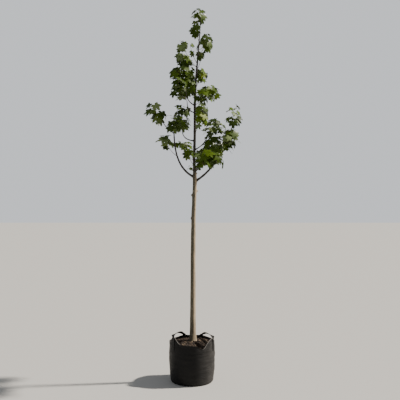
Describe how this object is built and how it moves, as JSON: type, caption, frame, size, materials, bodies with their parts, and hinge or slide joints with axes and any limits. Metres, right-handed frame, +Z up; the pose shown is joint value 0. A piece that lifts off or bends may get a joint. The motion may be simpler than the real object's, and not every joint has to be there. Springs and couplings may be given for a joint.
{
  "type": "sapling in a planter bag",
  "caption": "Young broad-leaved tree with a clear slender stem and a small open crown of lobed leaves, growing in a black woven planter bag with webbing handles.",
  "frame": {"origin": "centre of the bag's flat underside, on the floor", "axes": "+Z up along the stem, -Y towards the viewer, +X to the viewer's right"},
  "size_m": [0.9575, 0.6702, 3.5503],
  "materials": {
    "bag_fabric": "matt black woven polypropylene with fine level ribs",
    "webbing": "flat black webbing",
    "compost": "loose brown bark chips and compost",
    "bark": "smooth grey green young bark with pale specks",
    "young_bark": "dark brown bark of young boughs",
    "leaves": "fresh green leaves, darker in the shade and yellower in the light"
  },
  "bodies": {
    "root": {"bough_back_left": "young_bark", "bough_back_right": "young_bark", "bough_far_left": "young_bark", "bough_front_right": "young_bark", "bough_left_high": "young_bark", "bough_left_low_lower": "young_bark", "bough_left_low_upper": "young_bark", "bough_left_middle": "young_bark", "bough_right_low_lower": "young_bark", "bough_right_low_upper": "young_bark", "bough_right_middle": "young_bark", "handle_left": "webbing", "handle_right": "webbing", "leaves_back_left": "leaves", "leaves_centre_right": "leaves", "leaves_crown_back": "leaves", "leaves_crown_inner": "leaves", "leaves_crown_left": "leaves", "leaves_crown_right": "leaves", "leaves_far_left": "leaves", "leaves_front_right": "leaves", "leaves_hanging_left": "leaves", "leaves_high_left": "leaves", "leaves_high_right": "leaves", "leaves_inner_back": "leaves", "leaves_inner_left": "leaves", "leaves_inner_right": "leaves", "leaves_low_back": "leaves", "leaves_low_left": "leaves", "leaves_low_right": "leaves", "leaves_middle_left": "leaves", "leaves_middle_right": "leaves", "leaves_near_left": "leaves", "leaves_outer_right": "leaves", "leaves_shoulder_left": "leaves", "leaves_tall_right": "leaves", "leaves_tip": "leaves", "leaves_upper_back": "leaves", "leaves_upper_left": "leaves", "leaves_upper_right": "leaves", "planter_bag": "bag_fabric", "potting_compost": "compost", "sprout_left": "leaves", "sprout_right": "leaves", "trunk": "bark"}
  },
  "joints": []
}
